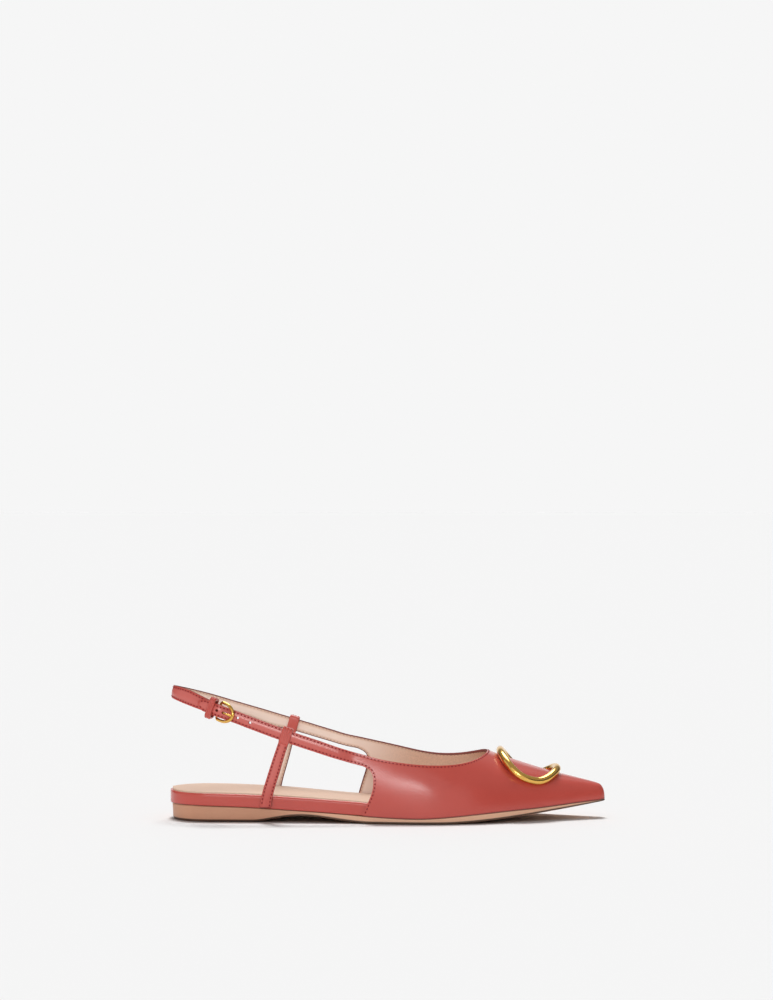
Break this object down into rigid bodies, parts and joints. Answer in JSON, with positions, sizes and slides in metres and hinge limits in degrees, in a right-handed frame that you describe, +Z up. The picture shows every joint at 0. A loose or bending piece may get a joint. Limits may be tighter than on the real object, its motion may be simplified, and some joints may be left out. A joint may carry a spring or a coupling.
{
  "type": "slingback flat shoe",
  "caption": "Pointed-toe flat slingback for the right foot: hollow leather upper with a buckled heel strap, side straps with sleeves, ring on the vamp, padded insole and low-heeled sole.",
  "frame": {"origin": "middle of the heel's tread, on the floor plane", "axes": "+X towards the toe, +Y towards the medial (inner) side of the foot, +Z up"},
  "size_m": [0.2605, 0.0762, 0.0792],
  "materials": {
    "coral_leather": "smooth, soft sheen",
    "nude_leather": "smooth, matt",
    "tan_sole": "smooth, satin",
    "gold_metal": "polished"
  },
  "bodies": {
    "root": {"outsole": "tan_sole", "footbed": "coral_leather", "insole": "nude_leather", "upper": "coral_leather", "side_strap_lateral": "coral_leather", "side_strap_medial": "coral_leather", "strap_keeper": "coral_leather", "buckle_frame": "gold_metal", "buckle_prong": "gold_metal", "vamp_ring": "gold_metal"}
  },
  "joints": []
}
